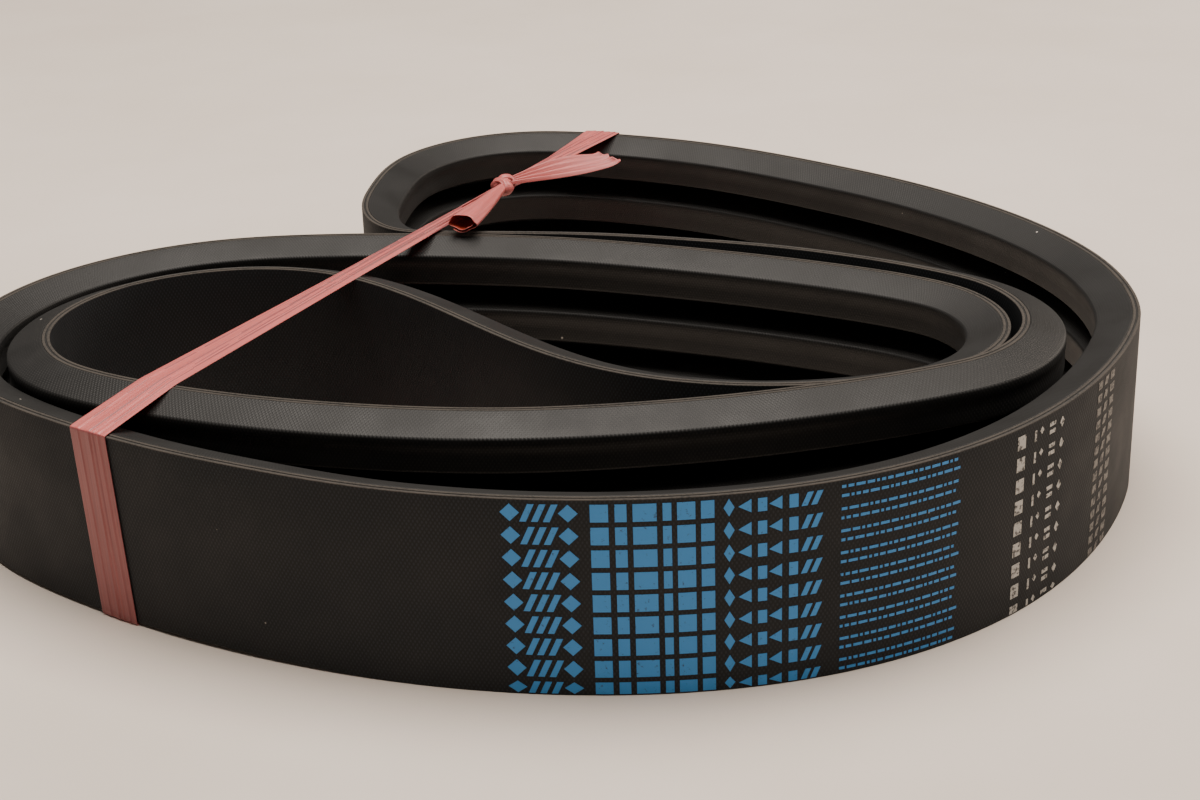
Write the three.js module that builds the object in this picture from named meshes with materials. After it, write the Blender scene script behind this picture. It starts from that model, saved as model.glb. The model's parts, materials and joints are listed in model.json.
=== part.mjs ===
// Banded V-belt: three wrapped classical B ribs under one tie band, coiled on its edge and tied
// with a film ribbon. Millimetres, +Z up; the origin is under the middle of the coil, on the floor.
import * as THREE from 'three';

// ---- Belt ----------------------------------------------------------------
const beltLength = 2362; // round the back of the tie band (93 in)
const ribCount = 3;
const ribPitch = 19.05;
const ribGap = 1.15; // between two ribs where they meet the tie band
const ribDepth = 10.6;
const wallAngle = THREE.MathUtils.degToRad(20);
const fabricPly = 0.6; // each of the tie band's two woven plies
const skimRubber = 0.5; // rubber between the plies
const jacketWall = 0.8; // wrapped cover fabric of a rib
const gumDepth = 1.8; // adhesion gum over the cords
const cordDiameter = 1.4;
const layerGap = 0.3; // between any two layers

// ---- Coil, seen from above ------------------------------------------------
const turnClearance = 2.2; // between the backs of two turns that touch
const foldLean = 6; // degrees that the far run leans in
const innerLift = 2.5; // the inner loop rides this much higher
const bendStep = 16; // degrees between stations in a bend
const runStep = 32; // longest step between stations in a run

// ---- Tie ribbon ------------------------------------------------------------
const ribbonWidth = 13.5;
const ribbonThickness = 0.5;
const ribbonGap = 0.3;
const tieFront = new THREE.Vector2(-124, -125);
const tieBack = new THREE.Vector2(21.5, 170);
const knotPlace = 0.73; // share of the way from front to back
const knotSize = new THREE.Vector3(11, 9, 7);
const tailWidth = 12;
const nearTailHeading = -104; // degrees, counter-clockwise from +X
const nearTailOverhang = 4.37; // how far it lies on past the first edge that it meets
const farTailHeading = 27;
const farTailLength = 40;
const liftReach = 55; // how far from the ribbon the belt's edge comes down to the floor

// ---- Worked out from the sizes above ----------------------------------------
const bandThickness = 2 * fabricPly + skimRubber + 2 * layerGap;
const ribTop = bandThickness + layerGap; // depth at which a rib starts
const ribTopWidth = ribPitch - ribGap; // cut width of one rib where it meets the tie band
const beltThickness = ribTop + ribDepth;
const beltWidth = (ribCount - 1) * ribPitch + ribTopWidth;
const wallRun = Math.tan(wallAngle); // how far a rib's wall comes in per unit of depth
const ribbonLift = ribbonThickness + ribbonGap;

const finishes = {
  fabric: { color: 0x1d1f22, roughness: 0.72, metalness: 0 },
  skim: { color: 0x17181a, roughness: 0.6, metalness: 0 },
  jacket: { color: 0x2b2e32, roughness: 0.6, metalness: 0 },
  gum: { color: 0x222222, roughness: 0.55, metalness: 0 },
  cord: { color: 0xd9cfb4, roughness: 0.8, metalness: 0 },
  core: { color: 0x1a1a1a, roughness: 0.6, metalness: 0 },
  ribbon: { color: 0xd0706c, roughness: 0.4, metalness: 0 },
};

const coil = new THREE.Group();

/** Adds one closed body to the coil under its own name. */
function addPiece(name, geometry, finish) {
  const mesh = new THREE.Mesh(geometry, new THREE.MeshStandardMaterial(finishes[finish]));
  mesh.name = name;
  coil.add(mesh);
}

/** Unit vector along a heading in degrees, counter-clockwise from +X. */
function along(heading) {
  const angle = THREE.MathUtils.degToRad(heading);
  return new THREE.Vector2(Math.cos(angle), Math.sin(angle));
}

/** The direction to the left of a direction of travel. */
function leftOf(direction) {
  return new THREE.Vector2(-direction.y, direction.x);
}

/**
 * The bends in belt order. The belt is followed with its ribs on the right: a clockwise bend has
 * its ribs inside, a counter-clockwise one outside. Radii are those of the band's back. A bend
 * nested in another takes its radius from it, less the belts' thickness and some slack, so that it
 * always fits inside. Centres, headings and reaches are the route of the coil as it was laid down.
 */
function bendsAtScale(scale) {
  const place = (x, y) => new THREE.Vector2(x, y).multiplyScalar(scale);
  const rightEnd = 81.1 * scale;
  const leftEnd = 82.2 * scale;
  const nestedRight = rightEnd - 2 * beltThickness - 6.6 * scale;
  const nestedLeft = leftEnd - 2 * beltThickness - 9.9 * scale;
  return [
    { centre: place(-41.9, 65.8), radius: 23.1 * scale, from: 171.8, to: 124.5, reach: [0.33, 0.33] },
    { centre: place(-6, 118.3), radius: 58.7 * scale, from: 79.5, to: -13.9, reach: [0.33, 0.36] },
    { centre: place(100.5, -37.6), radius: rightEnd, from: -109.1, to: -111.5, reach: [0.51, 0.41] },
    { centre: place(-101.4, -38.3), radius: leftEnd, from: -223.1, to: -352.8, reach: [0.26, 0.33] },
    {
      centre: place(93.3, -56.2), radius: nestedRight - turnClearance,
      from: -36.1, to: -164.8, reach: [0.58, 0.42],
    },
    { centre: place(-105.8, -46.3), radius: nestedLeft, from: -158, to: -33, reach: [0.35, 0.35] },
    { centre: place(94.7, -54.4), radius: nestedRight, from: 21.8, to: 140, reach: [0.38, 0.39] },
  ];
}
const farHairpin = 1; // bends that other features refer to, by their place in that list
const rightBend = 2;
const innerRight = 4;
const teardrop = 5;
const nestedEnd = 6;

/** Points and left-hand directions along one bend. */
function bendStations(bend) {
  const clockwise = bend.to < bend.from;
  const steps = Math.max(1, Math.ceil(Math.abs(bend.to - bend.from) / bendStep));
  const stations = [];
  for (let i = 0; i <= steps; i += 1) {
    const left = leftOf(along(THREE.MathUtils.lerp(bend.from, bend.to, i / steps)));
    const side = clockwise ? bend.radius : -bend.radius;
    stations.push({ point: bend.centre.clone().addScaledVector(left, side), left });
  }
  return stations;
}

/** Points and left-hand directions inside the run from one bend to the next. */
function runStations(start, bend, end, next) {
  const span = start.distanceTo(end);
  const curve = new THREE.CubicBezierCurve(
    start,
    start.clone().addScaledVector(along(bend.to), bend.reach[0] * span),
    end.clone().addScaledVector(along(next.from), -bend.reach[1] * span),
    end,
  );
  const steps = Math.max(2, Math.ceil(curve.getLength() / runStep));
  const stations = [];
  for (let i = 1; i < steps; i += 1) {
    stations.push({ point: curve.getPoint(i / steps), left: leftOf(curve.getTangent(i / steps)) });
  }
  return stations;
}

/** The whole closed path at one scale, each station marked with the bend it belongs to or follows. */
function pathAtScale(scale) {
  const bends = bendsAtScale(scale);
  const arcs = bends.map(bendStations);
  const stations = [];
  bends.forEach((bend, i) => {
    const next = (i + 1) % bends.length;
    arcs[i].forEach((station) => stations.push({ ...station, bend: i, inRun: false }));
    const end = arcs[next][0].point;
    const run = runStations(arcs[i].at(-1).point, bend, end, bends[next]);
    run.forEach((station) => stations.push({ ...station, bend: i, inRun: true }));
  });
  return stations;
}

/** Length of a closed chain of stations. */
function closedLength(stations) {
  return stations.reduce((sum, s, i) => sum + s.point.distanceTo(stations.at(i - 1).point), 0);
}

/** The path whose length is the belt's own: the coil grows until it takes up all of the belt. */
function fittedPath() {
  let scale = 1;
  for (let i = 0; i < 12; i += 1) {
    scale *= beltLength / closedLength(pathAtScale(scale));
  }
  return { stations: pathAtScale(scale), scale };
}

/** Adds each station's lean and height, and centres the coil on the origin. */
function settle({ stations, scale }) {
  const box = new THREE.Box2().setFromPoints(stations.map((s) => s.point));
  const centre = box.getCenter(new THREE.Vector2());
  const first = (bend, inRun) => stations.findIndex((s) => s.bend === bend && s.inRun === inRun);
  const share = (i, from, to) => THREE.MathUtils.clamp((i - from) / (to - from), 0, 1);
  const leanFrom = first(farHairpin, false);
  const leanTo = first(rightBend, false);
  const riseFrom = first(innerRight, true);
  const riseTo = first(teardrop, false);
  const fallFrom = first(nestedEnd, false);
  const fallTo = stations.length - 1;
  const tieLine = leftOf(tieBack.clone().sub(tieFront).normalize());
  const tieStart = tieFront.clone().multiplyScalar(scale);
  stations.forEach((station, i) => {
    station.point.sub(centre);
    const lean = foldLean * Math.sin(Math.PI * share(i, leanFrom, leanTo));
    station.lean = THREE.MathUtils.degToRad(lean);
    const rise = Math.min(share(i, riseFrom, riseTo), 1 - share(i, fallFrom, fallTo));
    const away = Math.abs(station.point.clone().sub(tieStart).dot(tieLine)) - ribbonWidth - runStep;
    const overRibbon = 1 - THREE.MathUtils.smoothstep(away, 0, liftReach);
    station.lift = innerLift * rise + ribbonLift * overRibbon;
  });
  return { stations, tieStart, tieEnd: tieBack.clone().multiplyScalar(scale) };
}

const { stations, tieStart, tieEnd } = settle(fittedPath());

/** A point of the belt's section, set in from the back and up from its lower edge, at one station. */
function beltPoint(station, inward, up) {
  const { point, left, lean, lift } = station;
  const inPlan = inward * Math.cos(lean) + up * Math.sin(lean);
  const height = up * Math.cos(lean) - (inward - ribTop) * Math.sin(lean) + lift;
  return new THREE.Vector3(point.x - left.x * inPlan, point.y - left.y * inPlan, height);
}

/** Closed body through rings of equal size; the last ring joins the first, or both are capped. */
function bodyThroughRings(rings, closed) {
  const size = rings[0].length;
  const positions = rings.flat().flatMap((p) => [p.x, p.y, p.z]);
  const faces = [];
  const spans = closed ? rings.length : rings.length - 1;
  for (let i = 0; i < spans; i += 1) {
    const here = i * size;
    const there = ((i + 1) % rings.length) * size;
    for (let j = 0; j < size; j += 1) {
      const k = (j + 1) % size;
      // every layer is split from its lower edge here to its upper edge there, so none cuts another
      if (rings[i][j].z < rings[i][k].z) {
        faces.push(here + j, there + k, there + j, here + j, here + k, there + k);
      } else {
        faces.push(here + j, here + k, there + j, here + k, there + k, there + j);
      }
    }
  }
  if (!closed) {
    const last = (rings.length - 1) * size;
    for (let j = 1; j < size - 1; j += 1) {
      faces.push(0, j + 1, j);
      faces.push(last, last + j, last + j + 1);
    }
  }
  const geometry = new THREE.BufferGeometry();
  geometry.setAttribute('position', new THREE.Float32BufferAttribute(positions, 3));
  geometry.setIndex(faces);
  geometry.computeVertexNormals();
  return geometry;
}

/** A layer of the belt: its section, as [inward, up] corners, carried round the whole coil. */
function beltLayer(section) {
  const rings = stations.map((s) => section.map(([inward, up]) => beltPoint(s, inward, up)));
  return bodyThroughRings(rings, true);
}

/** A flat layer over the whole width between two depths, in two halves so that it twists smoothly. */
function flatSection(top, base) {
  const half = beltWidth / 2;
  return [[top, 0], [top, half], [top, beltWidth], [base, beltWidth], [base, half], [base, 0]];
}

/** Half the width of a rib's outer shape at a depth under the band's back. */
function ribHalfWidth(depth) {
  return ribTopWidth / 2 - (depth - ribTop) * wallRun;
}

/** A four-sided layer that fills a rib's jacket between two depths. */
function ribLayer(middle, top, base) {
  const inset = (jacketWall + layerGap) / Math.cos(wallAngle);
  const upper = ribHalfWidth(top) - inset;
  const lower = ribHalfWidth(base) - inset;
  return [[top, middle - upper], [top, middle + upper], [base, middle + lower], [base, middle - lower]];
}

/** The cover fabric wrapped round a rib: both walls and the base, open under the tie band. */
function jacketSection(middle) {
  const wall = jacketWall / Math.cos(wallAngle);
  const base = beltThickness;
  const floor = base - jacketWall;
  const outerTop = ribHalfWidth(ribTop);
  const outerBase = ribHalfWidth(base);
  const innerBase = ribHalfWidth(floor) - wall;
  return [
    [ribTop, middle + outerTop],
    [base, middle + outerBase],
    [base, middle - outerBase],
    [ribTop, middle - outerTop],
    [ribTop, middle - outerTop + wall],
    [floor, middle - innerBase],
    [floor, middle + innerBase],
    [ribTop, middle + outerTop - wall],
  ];
}

/** The tie band: two woven plies with skim rubber between them. */
function addTieBand() {
  const skimTop = fabricPly + layerGap;
  const innerTop = skimTop + skimRubber + layerGap;
  const ply = (top, depth) => beltLayer(flatSection(top, top + depth));
  addPiece('tie_band_outer_ply', ply(0, fabricPly), 'fabric');
  addPiece('tie_band_skim_rubber', ply(skimTop, skimRubber), 'skim');
  addPiece('tie_band_inner_ply', ply(innerTop, fabricPly), 'fabric');
}

/** One V rib: gum, cord layer and core in a wrapped jacket. */
function addRib(number) {
  const middle = ribTopWidth / 2 + (number - 1) * ribPitch;
  const cordTop = ribTop + gumDepth + layerGap;
  const coreTop = cordTop + cordDiameter + layerGap;
  const coreBase = beltThickness - jacketWall - layerGap;
  const filling = (top, base) => beltLayer(ribLayer(middle, top, base));
  addPiece(`rib_${number}_cover_jacket`, beltLayer(jacketSection(middle)), 'jacket');
  addPiece(`rib_${number}_adhesion_gum`, filling(ribTop, ribTop + gumDepth), 'gum');
  addPiece(`rib_${number}_tensile_cords`, filling(cordTop, cordTop + cordDiameter), 'cord');
  addPiece(`rib_${number}_compression_core`, filling(coreTop, coreBase), 'core');
}

// ---- The ribbon --------------------------------------------------------------
const tieAlong = tieEnd.clone().sub(tieStart).normalize();
const tieAcross = leftOf(tieAlong);

/**
 * Where the edges of the band's back cross an upright plane, as (distance, height). The plane runs
 * from a start in a direction, set aside to its left.
 */
function crossings(start, direction, aside) {
  const across = leftOf(direction);
  const corners = [[0, 0], [0, beltWidth]];
  const points = [];
  corners.forEach(([inward, up]) => {
    stations.forEach((station, i) => {
      const a = beltPoint(stations.at(i - 1), inward, up);
      const b = beltPoint(station, inward, up);
      const offset = (p) => new THREE.Vector2(p.x, p.y).sub(start).dot(across) - aside;
      const before = offset(a);
      const after = offset(b);
      if (before * after < 0) {
        const hit = a.clone().lerp(b, before / (before - after));
        const distance = new THREE.Vector2(hit.x, hit.y).sub(start).dot(direction);
        points.push(new THREE.Vector2(distance, hit.z));
      }
    });
  });
  return points;
}

/** Smallest convex outline round some points, counter-clockwise: the shape of a taut loop. */
function tautLoop(points) {
  const sorted = [...points].sort((a, b) => a.x - b.x || a.y - b.y);
  const half = (ordered) => {
    const chain = [];
    ordered.forEach((p) => {
      while (chain.length > 1) {
        const edge = chain.at(-1).clone().sub(chain.at(-2));
        if (edge.cross(p.clone().sub(chain.at(-1))) > 0) break;
        chain.pop();
      }
      chain.push(p);
    });
    return chain.slice(0, -1);
  };
  return [...half(sorted), ...half(sorted.reverse())];
}

/** Drops corners so close together that the ribbon's gap covers what they add. */
function withoutShortSides(loop) {
  return loop.filter((p, i) => p.distanceTo(loop.at(i - 1)) > ribbonGap / 3);
}

/** A corner of a loop moved outward so that both its sides move by the same distance. */
function mitred(loop, i, distance) {
  const here = loop[i];
  const before = here.clone().sub(loop.at(i - 1)).normalize();
  const after = loop[(i + 1) % loop.length].clone().sub(here).normalize();
  const out = (side) => new THREE.Vector2(side.y, -side.x);
  const middle = out(before).add(out(after)).normalize();
  return here.clone().addScaledVector(middle, distance / middle.dot(out(before)));
}

/** A point of the ribbon's plane, set aside from it. */
function tiePoint(distance, height, aside) {
  const plan = tieStart.clone().addScaledVector(tieAlong, distance).addScaledVector(tieAcross, aside);
  return new THREE.Vector3(plan.x, plan.y, height);
}

/** The taut ribbon round the coil, open where the knot sits, and the height of its top by distance. */
function ribbonStrand(knotAt) {
  const half = ribbonWidth / 2;
  const edges = [-half, 0, half].flatMap((aside) => crossings(tieStart, tieAlong, aside));
  const touch = withoutShortSides(tautLoop(edges));
  const inner = touch.map((_, i) => mitred(touch, i, ribbonGap));
  const outer = touch.map((_, i) => mitred(touch, i, ribbonGap + ribbonThickness));
  const overhead = outer.findIndex((p, i) => {
    const next = outer[(i + 1) % outer.length];
    return next.x < knotAt && p.x > knotAt;
  });
  const cut = (loop, distance) => {
    const a = loop[overhead];
    const b = loop[(overhead + 1) % loop.length];
    return a.clone().lerp(b, (a.x - distance) / (a.x - b.x));
  };
  const knotHalf = knotSize.x / 2 + ribbonGap;
  const order = touch.map((_, i) => (overhead + 1 + i) % touch.length);
  const fromKnotToKnot = (loop) => [
    cut(loop, knotAt - knotHalf),
    ...order.map((i) => loop[i]),
    cut(loop, knotAt + knotHalf),
  ];
  const innerPath = fromKnotToKnot(inner);
  const outerPath = fromKnotToKnot(outer);
  const rings = innerPath.map((p, i) => [
    tiePoint(p.x, p.y, -half),
    tiePoint(outerPath[i].x, outerPath[i].y, -half),
    tiePoint(outerPath[i].x, outerPath[i].y, half),
    tiePoint(p.x, p.y, half),
  ]);
  return { geometry: bodyThroughRings(rings, false), topAt: (distance) => cut(outer, distance).y };
}

/** A flared tail out of the knot, through points given as [share of length, height, share of width]. */
function ribbonTail(start, heading, length, profile) {
  const way = along(heading).multiplyScalar(length);
  const side = leftOf(along(heading));
  const rings = profile.map(([share, height, width]) => {
    const middle = start.clone().addScaledVector(way, share);
    const half = (width * tailWidth) / 2;
    const corner = (aside, rise) => new THREE.Vector3(
      middle.x + side.x * aside,
      middle.y + side.y * aside,
      height + rise,
    );
    return [
      corner(-half, 0),
      corner(half, 0),
      corner(half, ribbonThickness),
      corner(-half, ribbonThickness),
    ];
  });
  return bodyThroughRings(rings, false);
}

/** Ribbon strand, knot and the two tails that stand out of it. */
function addTie() {
  const knotAt = knotPlace * tieStart.distanceTo(tieEnd);
  const { geometry, topAt } = ribbonStrand(knotAt);
  addPiece('ribbon_strand', geometry, 'ribbon');

  const knot = new THREE.IcosahedronGeometry(0.5, 1);
  knot.scale(knotSize.x, knotSize.y, knotSize.z);
  knot.rotateZ(tieAlong.angle());
  const centre = tiePoint(knotAt, topAt(knotAt), 0);
  knot.translate(centre.x, centre.y, centre.z);
  addPiece('ribbon_knot', knot, 'ribbon');

  const middle = new THREE.Vector2(centre.x, centre.y);
  const tailStart = (heading) => (
    middle.clone().addScaledVector(along(heading), knotSize.x / 2 + ribbonGap)
  );
  const rest = beltWidth + ribbonLift + ribbonGap;
  const nearStart = tailStart(nearTailHeading);
  const ahead = crossings(nearStart, along(nearTailHeading), 0).map((p) => p.x);
  const nearLength = Math.min(...ahead.filter((distance) => distance > 0)) + nearTailOverhang;
  // the near tail stays above the edge it lies on and above the strand beside it
  const above = (share) => {
    const spot = nearStart.clone().addScaledVector(along(nearTailHeading), share * nearLength);
    return Math.max(rest, topAt(spot.sub(tieStart).dot(tieAlong)) + 2 * ribbonGap);
  };
  const nearProfile = [
    [0, above(0), 0.35],
    [0.45, above(0.45) + 0.5, 0.6],
    [0.85, above(0.85), 0.95],
    [1, above(1) + 1, 1],
  ];
  const nearTail = ribbonTail(nearStart, nearTailHeading, nearLength, nearProfile);
  addPiece('ribbon_tail_near', nearTail, 'ribbon');

  const over = topAt(knotAt) + 2 * ribbonGap;
  const farProfile = [[0, over, 0.35], [0.45, over + 2, 0.7], [1, over + 1, 1]];
  const farTail = ribbonTail(tailStart(farTailHeading), farTailHeading, farTailLength, farProfile);
  addPiece('ribbon_tail_far', farTail, 'ribbon');
}

addTieBand();
for (let number = 1; number <= ribCount; number += 1) {
  addRib(number);
}
addTie();

export default coil;
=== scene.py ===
"""Banded V-belt, coiled on its edge in nested loops and tied with a knotted film ribbon.

The belt is an endless band: a woven tie band on the back and three wrapped V ribs under it. Every
length in a class is in millimetres unless it says metres; meshes are made in metres, in place.
"""

import json
import logging
import math
from collections.abc import Iterable
from dataclasses import dataclass, field
from enum import Enum

import bmesh
import bpy
import numpy as np
from mathutils import Matrix, Vector


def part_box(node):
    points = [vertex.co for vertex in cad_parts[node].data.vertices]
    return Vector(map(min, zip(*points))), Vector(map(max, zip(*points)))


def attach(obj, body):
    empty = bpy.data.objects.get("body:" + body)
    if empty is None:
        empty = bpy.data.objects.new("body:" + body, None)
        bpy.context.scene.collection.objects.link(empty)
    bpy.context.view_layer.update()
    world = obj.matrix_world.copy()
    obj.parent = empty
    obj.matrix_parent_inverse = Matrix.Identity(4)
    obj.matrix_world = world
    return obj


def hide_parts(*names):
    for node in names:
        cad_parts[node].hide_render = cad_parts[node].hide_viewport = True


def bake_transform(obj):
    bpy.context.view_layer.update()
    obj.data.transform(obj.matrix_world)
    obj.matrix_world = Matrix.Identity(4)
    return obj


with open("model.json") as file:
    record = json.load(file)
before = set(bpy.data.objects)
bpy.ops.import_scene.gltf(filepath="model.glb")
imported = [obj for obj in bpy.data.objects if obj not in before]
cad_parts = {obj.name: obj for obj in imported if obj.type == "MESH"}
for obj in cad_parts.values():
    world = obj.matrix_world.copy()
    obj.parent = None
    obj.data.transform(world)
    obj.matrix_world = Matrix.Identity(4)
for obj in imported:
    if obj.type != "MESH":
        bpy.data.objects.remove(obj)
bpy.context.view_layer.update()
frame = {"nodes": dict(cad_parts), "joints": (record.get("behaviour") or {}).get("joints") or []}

Tree = bpy.types.NodeTree
Socket = bpy.types.NodeSocket
Grid = bmesh.types.BMesh

MM = 0.001
WAVE_PER_MM = math.pi / 10  # a wave texture's bands are pi/10 apart at scale 1
LOG = logging.getLogger("v_belt")
BACK_NODE = "tie_band_outer_ply"
STRAND_NODE = "ribbon_strand"
KNOT_NODE = "ribbon_knot"


# ---- Materials -------------------------------------------------------------------------------


def linear(hex_colour: str) -> tuple[float, float, float, float]:
    """Turns an sRGB hex value such as "#c86f66" to the linear colour that a shader takes."""
    parts = [int(hex_colour[i : i + 2], 16) / 255 for i in (1, 3, 5)]
    curve = [c / 12.92 if c <= 0.04045 else ((c + 0.055) / 1.055) ** 2.4 for c in parts]
    return (*curve, 1.0)


def add_node(tree: Tree, kind: str, inputs: dict | None = None, **settings) -> bpy.types.Node:
    """Adds one shader node.

    Args:
        tree: the material's node tree.
        kind: the node's type name.
        inputs: by socket name or number, a value or the output that feeds it.
        **settings: the node's own properties.

    Returns:
        The new node.
    """
    node = tree.nodes.new(kind)
    for name, value in settings.items():
        setattr(node, name, value)
    for key, value in (inputs or {}).items():
        if isinstance(value, Socket):
            tree.links.new(value, node.inputs[key])
        else:
            node.inputs[key].default_value = value
    return node


@dataclass(frozen=True)
class Finish:
    """A material by its common name and how its surface was made."""

    name: str
    colour: str
    second: str
    roughness: float

    def material(self) -> bpy.types.Material:
        """The finish as a Blender material, made once and then shared."""
        found = bpy.data.materials.get(self.name)
        if found:
            return found
        made = bpy.data.materials.new(self.name)
        made.use_nodes = True
        tree = made.node_tree
        shader = tree.nodes["Principled BSDF"]
        self.dress(tree, shader)
        return made

    def dress(self, tree: Tree, shader: bpy.types.Node) -> None:
        """Fills the shader; each kind of finish has its own way."""
        raise NotImplementedError

    def cloudy(self, tree: Tree, size_mm: float, low: float = 0.35, high: float = 0.65) -> Socket:
        """Soft patches of about one size, from 0 to 1, fixed to the piece.

        Args:
            tree: the material's node tree.
            size_mm: how far apart the patches are.
            low: the noise value that becomes 0.
            high: the noise value that becomes 1.

        Returns:
            The output that carries the patches.
        """
        place = add_node(tree, "ShaderNodeTexCoord").outputs["Object"]
        looks = {"Vector": place, "Scale": 1 / (size_mm * MM), "Detail": 4.0, "Roughness": 0.6}
        noise = add_node(tree, "ShaderNodeTexNoise", looks).outputs["Fac"]
        return self.spread(tree, noise, {"From Min": low, "From Max": high})

    def spread(self, tree: Tree, value: Socket, limits: dict) -> Socket:
        """A value mapped between limits, given by the Map Range node's socket names."""
        return add_node(tree, "ShaderNodeMapRange", {"Value": value, **limits}).outputs["Result"]

    def blend(self, tree: Tree, share: Socket, first: str | Socket, second: str | Socket) -> Socket:
        """A colour between two, by a share from 0 to 1.

        Args:
            tree: the material's node tree.
            share: the output that says how much of the second shows.
            first: a hex value or an output.
            second: a hex value or an output.

        Returns:
            The output that carries the colour.
        """
        first = linear(first) if isinstance(first, str) else first
        second = linear(second) if isinstance(second, str) else second
        mixed = add_node(tree, "ShaderNodeMix", {0: share, 6: first, 7: second}, data_type="RGBA")
        return mixed.outputs[2]

    def surface(self, tree: Tree, shader: bpy.types.Node, colour: Socket, height: Socket, rise_mm: float,
                strength: float = 1.0) -> None:
        """Joins a colour and a relief to the shader, and sets the roughness.

        Args:
            tree: the material's node tree.
            shader: the principled shader.
            colour: the output that carries the colour.
            height: the output that carries the relief, from 0 to 1.
            rise_mm: how high the relief is.
            strength: how much of it shows.
        """
        relief = {"Height": height, "Distance": rise_mm * MM, "Strength": strength}
        bump = add_node(tree, "ShaderNodeBump", relief)
        tree.links.new(colour, shader.inputs["Base Color"])
        tree.links.new(bump.outputs[0], shader.inputs["Normal"])
        shader.inputs["Roughness"].default_value = self.roughness


@dataclass(frozen=True)
class WovenFabric(Finish):
    """Bias-cut cloth soaked in rubber and cured in a mould: a fine diamond of threads whose crossings are
    painted lighter, a painted highlight for the dull sheen that catches the light on each crossing together
    with a little dust, and a few specks of lint."""

    thread_mm: float = 1.0
    thread_angle: float = 58.0
    relief_mm: float = 0.05
    sheen: float = 0.0
    # the colour the weave crossings lighten to: a painted highlight, with a little dust
    highlight_and_dust: str = "#3b3937"
    shine: float = 0.3
    lint: str = "#b8b2aa"
    crest_highlight_and_dust: float = 0.34  # how much painted highlight and dust the crossings take
    wear_mm: float = 26.0
    specks_per_metre: float = 55.0

    def dress(self, tree: Tree, shader: bpy.types.Node) -> None:
        """Threads run both ways across the belt; their crossings are painted lighter with highlight and dust,
        and the cloth's tone and roughness change in soft worn patches.
        """
        flat = add_node(tree, "ShaderNodeTexCoord").outputs["UV"]
        looks = {"Scale": WAVE_PER_MM / self.thread_mm, "Distortion": 0.5, "Detail": 1.0}
        bands = []
        for angle in (self.thread_angle, -self.thread_angle):
            turn = {"Vector": flat, "Rotation": (0, 0, math.radians(angle))}
            turned = add_node(tree, "ShaderNodeMapping", turn).outputs[0]
            bands.append(add_node(tree, "ShaderNodeTexWave", {"Vector": turned, **looks}).outputs["Fac"])
        weave = add_node(tree, "ShaderNodeMath", {0: bands[0], 1: bands[1]}, operation="MULTIPLY").outputs[0]
        # the crossings lighten with the weave's height: a painted highlight on the crests, with a little dust
        crest = {0: weave, 1: self.crest_highlight_and_dust}
        highlight_and_dust_share = add_node(tree, "ShaderNodeMath", crest, operation="MULTIPLY").outputs[0]
        wear = self.cloudy(tree, self.wear_mm)
        cloth = self.blend(tree, highlight_and_dust_share, self.blend(tree, wear, self.colour, self.second), self.highlight_and_dust)
        place = add_node(tree, "ShaderNodeTexCoord").outputs["Object"]
        spots = {"Vector": place, "Scale": self.specks_per_metre, "Randomness": 1.0}
        far = add_node(tree, "ShaderNodeTexVoronoi", spots).outputs["Distance"]
        speck = self.spread(tree, far, {"From Min": 0.026, "From Max": 0.014})
        self.surface(tree, shader, self.blend(tree, speck, cloth, self.lint), weave, self.relief_mm)
        polish = {"To Min": self.roughness - 0.05, "To Max": self.roughness + 0.07}
        tree.links.new(self.spread(tree, wear, polish), shader.inputs["Roughness"])
        shader.inputs["Specular IOR Level"].default_value = self.shine
        shader.inputs["Sheen Weight"].default_value = self.sheen
        shader.inputs["Sheen Roughness"].default_value = 0.5


@dataclass(frozen=True)
class CutEdge(Finish):
    """A knife-cut edge of rubberised cloth: brown-grey yarn ends in black rubber, rough and dry."""

    def dress(self, tree: Tree, shader: bpy.types.Node) -> None:
        """Yarn ends show as short pale ticks about a millimetre apart."""
        ends = self.cloudy(tree, 0.9, 0.38, 0.6)
        yarn = self.blend(tree, ends, self.second, self.colour)
        worn = self.blend(tree, self.cloudy(tree, 14), yarn, self.colour)
        self.surface(tree, shader, worn, ends, 0.08, 0.8)


@dataclass(frozen=True)
class PlainRubber(Finish):
    """Calendered or moulded black rubber: smooth, dark, with a faint bloom in patches."""

    def dress(self, tree: Tree, shader: bpy.types.Node) -> None:
        """A bloom a few millimetres across lightens the black."""
        bloom = self.cloudy(tree, 6)
        self.surface(tree, shader, self.blend(tree, bloom, self.colour, self.second), bloom, 0.05, 0.4)


@dataclass(frozen=True)
class CordYarn(Finish):
    """Twisted polyester cord dipped in adhesive: straw-coloured strands laid at a slant."""

    lay_mm: float = 1.6

    def dress(self, tree: Tree, shader: bpy.types.Node) -> None:
        """Strands cross each cord at a slant, one every lay length."""
        flat = add_node(tree, "ShaderNodeTexCoord").outputs["UV"]
        turned = add_node(tree, "ShaderNodeMapping", {"Vector": flat, "Rotation": (0, 0, 0.7)}).outputs[0]
        laid = {"Vector": turned, "Scale": WAVE_PER_MM / self.lay_mm}
        strands = add_node(tree, "ShaderNodeTexWave", laid).outputs["Fac"]
        self.surface(tree, shader, self.blend(tree, strands, self.second, self.colour), strands, 0.12)


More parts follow.
